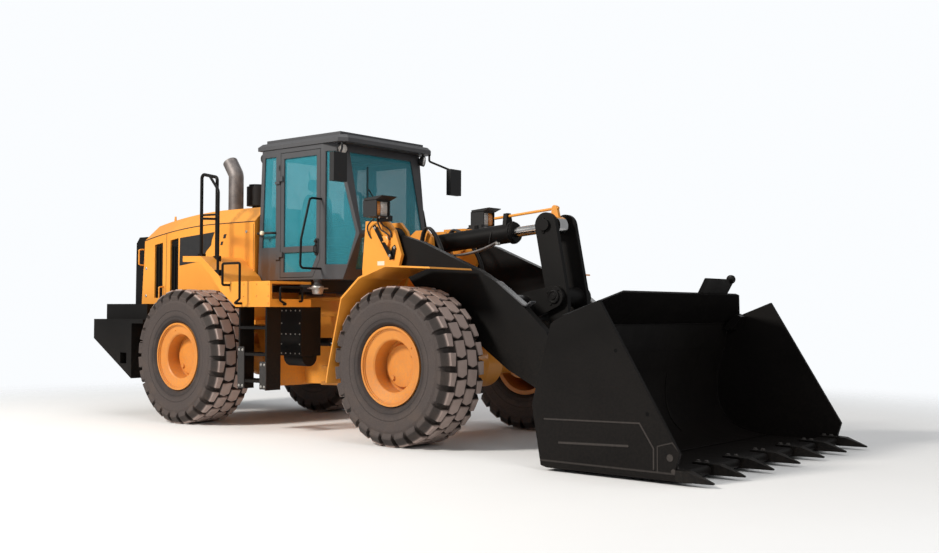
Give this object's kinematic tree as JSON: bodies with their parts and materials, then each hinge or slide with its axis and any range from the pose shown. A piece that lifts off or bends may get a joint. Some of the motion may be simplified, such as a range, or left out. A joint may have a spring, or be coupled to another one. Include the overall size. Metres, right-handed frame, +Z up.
{
  "type": "wheel loader",
  "caption": "Articulated wheel loader with a Z-bar linkage, glazed cab, steel bucket and four wide lugged tyres.",
  "frame": {"origin": "on the ground under the middle of the machine's length and width", "axes": "+X forward, +Y to the machine's left, +Z up"},
  "size_m": [9.29, 3.32, 3.4285],
  "materials": {
    "body_paint": "satin",
    "rim_paint": "satin",
    "black_paint": "satin",
    "cab_paint": "satin",
    "glass": "clear",
    "tyre": "matte",
    "chrome_rod": "polished",
    "iron": "rough",
    "pipe": "dull",
    "plastic": "matte",
    "seat_fabric": "woven"
  },
  "bodies": {
    "rear_body": {"rear_frame": "body_paint", "engine_block": "iron", "gearbox": "iron", "rear_axle": "body_paint", "engine_hood": "body_paint", "rear_grille": "black_paint", "counterweight": "black_paint", "exhaust": "pipe", "precleaner": "plastic", "cab_shell": "cab_paint", "cab_roof": "cab_paint", "cab_glass": "glass", "seat": "seat_fabric", "steering_column": "plastic", "rear_fenders": "body_paint", "ladders": "black_paint", "side_boxes": "black_paint", "handrails": "black_paint", "mirrors": "plastic"},
    "door_left": {"door_left": "cab_paint", "door_glass_left": "glass"},
    "door_right": {"door_right": "cab_paint", "door_glass_right": "glass"},
    "front_body": {"front_frame": "body_paint", "front_axle": "body_paint", "front_fenders": "body_paint", "headlamps": "plastic"},
    "lift_barrels": {"lift_barrels": "black_paint"},
    "lift_rods": {"lift_rods": "chrome_rod"},
    "boom": {"boom": "black_paint"},
    "bellcrank": {"bellcrank": "black_paint"},
    "tilt_link": {"tilt_link": "black_paint"},
    "tilt_barrel": {"tilt_barrel": "black_paint"},
    "tilt_rod": {"tilt_rod": "chrome_rod", "level_rod": "body_paint"},
    "bucket": {"bucket": "black_paint", "bucket_teeth": "black_paint"},
    "steer_barrel_left": {"steer_barrel_left": "black_paint"},
    "steer_rod_left": {"steer_rod_left": "chrome_rod"},
    "steer_barrel_right": {"steer_barrel_right": "black_paint"},
    "steer_rod_right": {"steer_rod_right": "chrome_rod"},
    "wheel_front_right": {"tyre_front_right": "tyre", "rim_front_right": "rim_paint"},
    "wheel_front_left": {"tyre_front_left": "tyre", "rim_front_left": "rim_paint"},
    "wheel_rear_right": {"tyre_rear_right": "tyre", "rim_rear_right": "rim_paint"},
    "wheel_rear_left": {"tyre_rear_left": "tyre", "rim_rear_left": "rim_paint"}
  },
  "joints": [
    {"name": "articulation", "type": "hinge", "parent": "rear_body", "child": "front_body", "pos_m": [-0.843, 0, 1], "axis": [0, 0, 1], "range_deg": [-36, 36]},
    {"name": "wheel_front_right", "type": "hinge", "parent": "front_body", "child": "wheel_front_right", "pos_m": [0.935, -1.115, 0.812], "axis": [0, 1, 0], "continuous": true},
    {"name": "wheel_front_left", "type": "hinge", "parent": "front_body", "child": "wheel_front_left", "pos_m": [0.935, 1.115, 0.812], "axis": [0, 1, 0], "continuous": true},
    {"name": "wheel_rear_right", "type": "hinge", "parent": "rear_body", "child": "wheel_rear_right", "pos_m": [-2.621, -1.115, 0.812], "axis": [0, 1, 0], "continuous": true},
    {"name": "wheel_rear_left", "type": "hinge", "parent": "rear_body", "child": "wheel_rear_left", "pos_m": [-2.621, 1.115, 0.812], "axis": [0, 1, 0], "continuous": true},
    {"name": "door_left", "type": "hinge", "parent": "rear_body", "child": "door_left", "pos_m": [-1.457, 0.789, 2.4], "axis": [0, 0, 1], "range_deg": [0, 100]},
    {"name": "door_right", "type": "hinge", "parent": "rear_body", "child": "door_right", "pos_m": [-1.457, -0.789, 2.4], "axis": [0, 0, -1], "range_deg": [0, 100]},
    {"name": "boom_lift", "type": "hinge", "parent": "front_body", "child": "boom", "pos_m": [0.275, 0, 2.12], "axis": [0, -1, 0], "range_deg": [0, 82]},
    {"name": "bucket_tilt", "type": "hinge", "parent": "boom", "child": "bucket", "pos_m": [2.805, 0, 0.42], "axis": [0, -1, 0], "range_deg": [-120, 40]},
    {"name": "bellcrank_turn", "type": "hinge", "parent": "boom", "child": "bellcrank", "pos_m": [2.155, 0, 1.52], "axis": [0, -1, 0], "range_deg": [-11.4, 34.16]},
    {"name": "link_turn", "type": "hinge", "parent": "bellcrank", "child": "tilt_link", "pos_m": [2.235, 0, 0.66], "axis": [0, -1, 0], "range_deg": [-96.42, 32.15]},
    {"name": "tilt_barrel_turn", "type": "hinge", "parent": "boom", "child": "tilt_barrel", "pos_m": [0.275, 0, 2.12], "axis": [0, -1, 0], "range_deg": [-6.22, 2.09]},
    {"name": "tilt_rod_slide", "type": "slide", "parent": "tilt_barrel", "child": "tilt_rod", "axis": [0.9967, 0, 0.0807], "range_m": [-0.40241, 0.13447]},
    {"name": "lift_barrels_turn", "type": "hinge", "parent": "front_body", "child": "lift_barrels", "pos_m": [-0.115, 0, 0.75], "axis": [0, -1, 0], "range_deg": [-0.02, 33.42]},
    {"name": "lift_rods_slide", "type": "slide", "parent": "lift_barrels", "child": "lift_rods", "axis": [0.8958, 0, 0.4444], "range_m": [-0.0005, 1.05743]},
    {"name": "steer_barrel_left", "type": "hinge", "parent": "rear_body", "child": "steer_barrel_left", "pos_m": [-1.593, 0.5, 1], "axis": [0, 0, 1], "range_deg": [-8.22, 8.22]},
    {"name": "steer_rod_left", "type": "slide", "parent": "steer_barrel_left", "child": "steer_rod_left", "axis": [0.9823, -0.1871, 0], "range_m": [-0.21466, 0.21466]},
    {"name": "steer_barrel_right", "type": "hinge", "parent": "rear_body", "child": "steer_barrel_right", "pos_m": [-1.593, -0.5, 1], "axis": [0, 0, 1], "range_deg": [-8.22, 8.22]},
    {"name": "steer_rod_right", "type": "slide", "parent": "steer_barrel_right", "child": "steer_rod_right", "axis": [0.9823, 0.1871, 0], "range_m": [-0.21466, 0.21466]}
  ],
  "couplings": [
    {"joint": "bellcrank_turn", "follows": "bucket_tilt", "ratio": -0.2845},
    {"joint": "link_turn", "follows": "bucket_tilt", "ratio": 0.8033},
    {"joint": "tilt_barrel_turn", "follows": "bucket_tilt", "ratio": 0.0517},
    {"joint": "tilt_rod_slide", "follows": "bucket_tilt", "m_per_rad": 0.1919},
    {"joint": "lift_barrels_turn", "follows": "boom_lift", "ratio": 0.40735},
    {"joint": "lift_rods_slide", "follows": "boom_lift", "m_per_rad": 0.73851},
    {"joint": "steer_barrel_left", "follows": "articulation", "ratio": 0.22777},
    {"joint": "steer_rod_left", "follows": "articulation", "m_per_rad": -0.34084},
    {"joint": "steer_barrel_right", "follows": "articulation", "ratio": 0.22777},
    {"joint": "steer_rod_right", "follows": "articulation", "m_per_rad": 0.34084}
  ]
}
